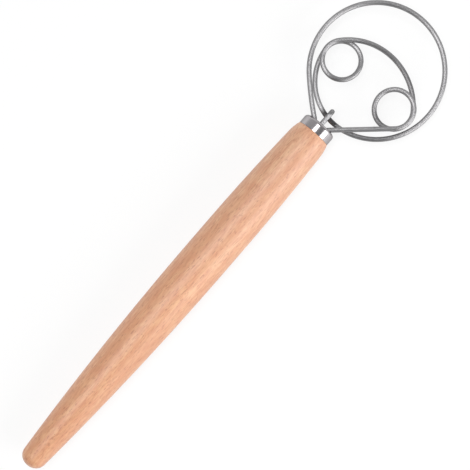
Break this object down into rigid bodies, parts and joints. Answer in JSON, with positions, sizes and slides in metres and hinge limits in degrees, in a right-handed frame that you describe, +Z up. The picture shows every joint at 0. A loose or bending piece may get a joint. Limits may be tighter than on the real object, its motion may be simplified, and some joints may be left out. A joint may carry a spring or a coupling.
{
  "type": "dough whisk",
  "caption": "Dough whisk: turned wooden handle with a steel ferrule and a flat wire head, an outer ring with two coils inside it, tied by a hook.",
  "frame": {"origin": "under the middle of the whole whisk, on the surface that the handle's belly rests on", "axes": "+X along the handle towards the wire head, +Y to the left of it, +Z up, square to the plane of the head, out of the side that the hook shows on"},
  "size_m": [0.34, 0.0806, 0.0266],
  "materials": {
    "handle_wood": "satin",
    "ferrule_steel": "polished",
    "wire_steel": "polished"
  },
  "bodies": {
    "root": {"wooden_handle": "handle_wood", "ferrule": "ferrule_steel", "whisk_wire": "wire_steel", "retaining_hook": "wire_steel"}
  },
  "joints": []
}
